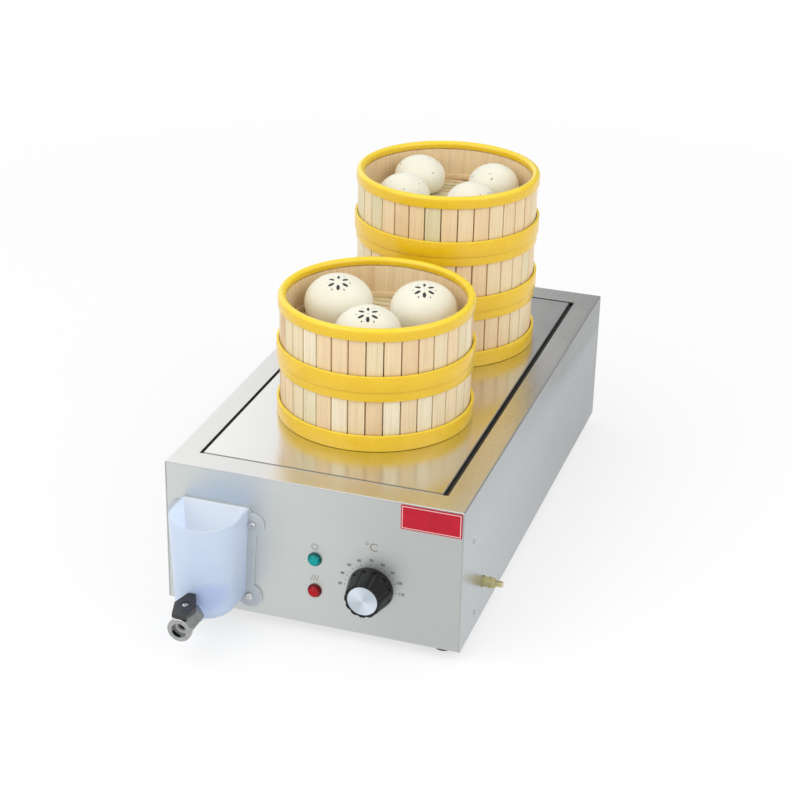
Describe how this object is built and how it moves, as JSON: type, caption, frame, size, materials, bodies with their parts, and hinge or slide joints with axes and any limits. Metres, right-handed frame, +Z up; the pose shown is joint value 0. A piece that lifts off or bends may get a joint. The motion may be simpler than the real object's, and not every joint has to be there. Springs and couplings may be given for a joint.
{
  "type": "electric bun steamer",
  "caption": "Tabletop electric bun steamer: steel casing over a heated tank, knob, lamps, water box with drain valve, and stacked bamboo tiers with plastic rims holding buns.",
  "frame": {"origin": "middle of the bounding box's base, on the surface that the feet stand on", "axes": "+Z up, +Y from the drain valve at the front to the cable gland at the back, +X to the machine's right as seen from the front"},
  "size_m": [0.3208, 0.6726, 0.3524],
  "materials": {
    "casing_steel": "satin stainless sheet",
    "panel_steel": "satin stainless sheet",
    "plate_steel": "bright rolled stainless sheet",
    "inner_steel": "mill finish stainless sheet",
    "foot_rubber": "matt moulded rubber",
    "heater_steel": "heat-tinted steel sheath",
    "nut_brass": "turned brass",
    "control_plastic": "matt black moulding",
    "shaft_steel": "turned steel",
    "knob_plastic": "gloss black moulding",
    "knob_aluminium": "spun aluminium",
    "red_lens": "clear red moulding",
    "green_lens": "clear blue-green moulding",
    "red_enamel": "gloss red enamel with a thin pale line",
    "box_plastic": "milky translucent moulding",
    "screw_steel": "bright screw steel",
    "pipe_steel": "drawn stainless tube",
    "valve_chrome": "bright nickel plate",
    "seat_plastic": "white seal plastic",
    "handle_plastic": "satin black moulding",
    "stud_brass": "dull yellow-green passivated brass",
    "rivet_aluminium": "plain aluminium",
    "gland_plastic": "matt black moulding",
    "wire_rubber": "matt wire sleeve",
    "bamboo_stave": "planed bamboo with fine grain",
    "bamboo_slat": "split bamboo slats",
    "yellow_plastic": "glossy moulded rim",
    "bun_dough": "soft steamed dough with a faint sheen"
  },
  "bodies": {
    "machine": {"base_plate": "inner_steel", "cable_gland": "gland_plastic", "casing": "casing_steel", "earth_nuts": "stud_brass", "earth_stud": "stud_brass", "feed_nuts": "nut_brass", "feed_pipe": "pipe_steel", "feet": "foot_rubber", "front_panel": "panel_steel", "green_lamp_lens": "green_lens", "heater_nuts": "nut_brass", "heater_tube": "heater_steel", "lamp_bodies": "control_plastic", "name_plate": "red_enamel", "rear_panel": "panel_steel", "red_lamp_lens": "red_lens", "sensor_bulb": "pipe_steel", "side_rivets": "rivet_aluminium", "tank": "inner_steel", "thermostat_body": "control_plastic", "valve_body": "valve_chrome", "valve_seats": "seat_plastic", "water_box": "box_plastic", "water_box_screws": "screw_steel", "wiring": "wire_rubber"},
    "knob": {"thermostat_shaft": "shaft_steel", "knob_grip": "knob_plastic", "knob_cap": "knob_aluminium"},
    "valve_lever": {"valve_ball": "valve_chrome", "valve_stem": "shaft_steel", "valve_handle": "handle_plastic", "valve_handle_screw": "screw_steel"},
    "steam_plate": {"steam_plate": "plate_steel"},
    "front_tier_1": {"front_tier_1_bottom_rim": "yellow_plastic", "front_tier_1_floor": "bamboo_slat", "front_tier_1_staves": "bamboo_stave", "front_tier_1_top_rim": "yellow_plastic"},
    "front_tier_2": {"front_tier_2_bottom_rim": "yellow_plastic", "front_tier_2_floor": "bamboo_slat", "front_tier_2_staves": "bamboo_stave", "front_tier_2_top_rim": "yellow_plastic"},
    "front_buns": {"front_bun_left": "bun_dough", "front_bun_near": "bun_dough", "front_bun_right": "bun_dough"},
    "back_tier_1": {"back_tier_1_bottom_rim": "yellow_plastic", "back_tier_1_floor": "bamboo_slat", "back_tier_1_staves": "bamboo_stave", "back_tier_1_top_rim": "yellow_plastic"},
    "back_tier_2": {"back_tier_2_bottom_rim": "yellow_plastic", "back_tier_2_floor": "bamboo_slat", "back_tier_2_staves": "bamboo_stave", "back_tier_2_top_rim": "yellow_plastic"},
    "back_tier_3": {"back_tier_3_bottom_rim": "yellow_plastic", "back_tier_3_floor": "bamboo_slat", "back_tier_3_staves": "bamboo_stave", "back_tier_3_top_rim": "yellow_plastic"},
    "back_buns": {"back_bun_far_left": "bun_dough", "back_bun_far_right": "bun_dough", "back_bun_near_left": "bun_dough", "back_bun_near_right": "bun_dough"}
  },
  "joints": [
    {"name": "knob_turn", "type": "hinge", "parent": "machine", "child": "knob", "pos_m": [0.0504, -0.26825, 0.0626], "axis": [0, 1, 0], "range_deg": [0, 270]},
    {"name": "valve_turn", "type": "hinge", "parent": "machine", "child": "valve_lever", "pos_m": [-0.107, -0.32, 0.0365], "axis": [0, 0, 1], "range_deg": [0, 90]},
    {"name": "plate_lift", "type": "slide", "parent": "machine", "child": "steam_plate", "axis": [0, 0, 1], "range_m": [0, 0.08]},
    {"name": "front_tier_1_lift", "type": "slide", "parent": "steam_plate", "child": "front_tier_1", "axis": [0, 0, 1], "range_m": [0, 0.07]},
    {"name": "front_tier_2_lift", "type": "slide", "parent": "front_tier_1", "child": "front_tier_2", "axis": [0, 0, 1], "range_m": [0, 0.07]},
    {"name": "front_buns_lift", "type": "slide", "parent": "front_tier_2", "child": "front_buns", "axis": [0, 0, 1], "range_m": [0, 0.06]},
    {"name": "back_tier_1_lift", "type": "slide", "parent": "steam_plate", "child": "back_tier_1", "axis": [0, 0, 1], "range_m": [0, 0.07]},
    {"name": "back_tier_2_lift", "type": "slide", "parent": "back_tier_1", "child": "back_tier_2", "axis": [0, 0, 1], "range_m": [0, 0.07]},
    {"name": "back_tier_3_lift", "type": "slide", "parent": "back_tier_2", "child": "back_tier_3", "axis": [0, 0, 1], "range_m": [0, 0.07]},
    {"name": "back_buns_lift", "type": "slide", "parent": "back_tier_3", "child": "back_buns", "axis": [0, 0, 1], "range_m": [0, 0.06]}
  ]
}
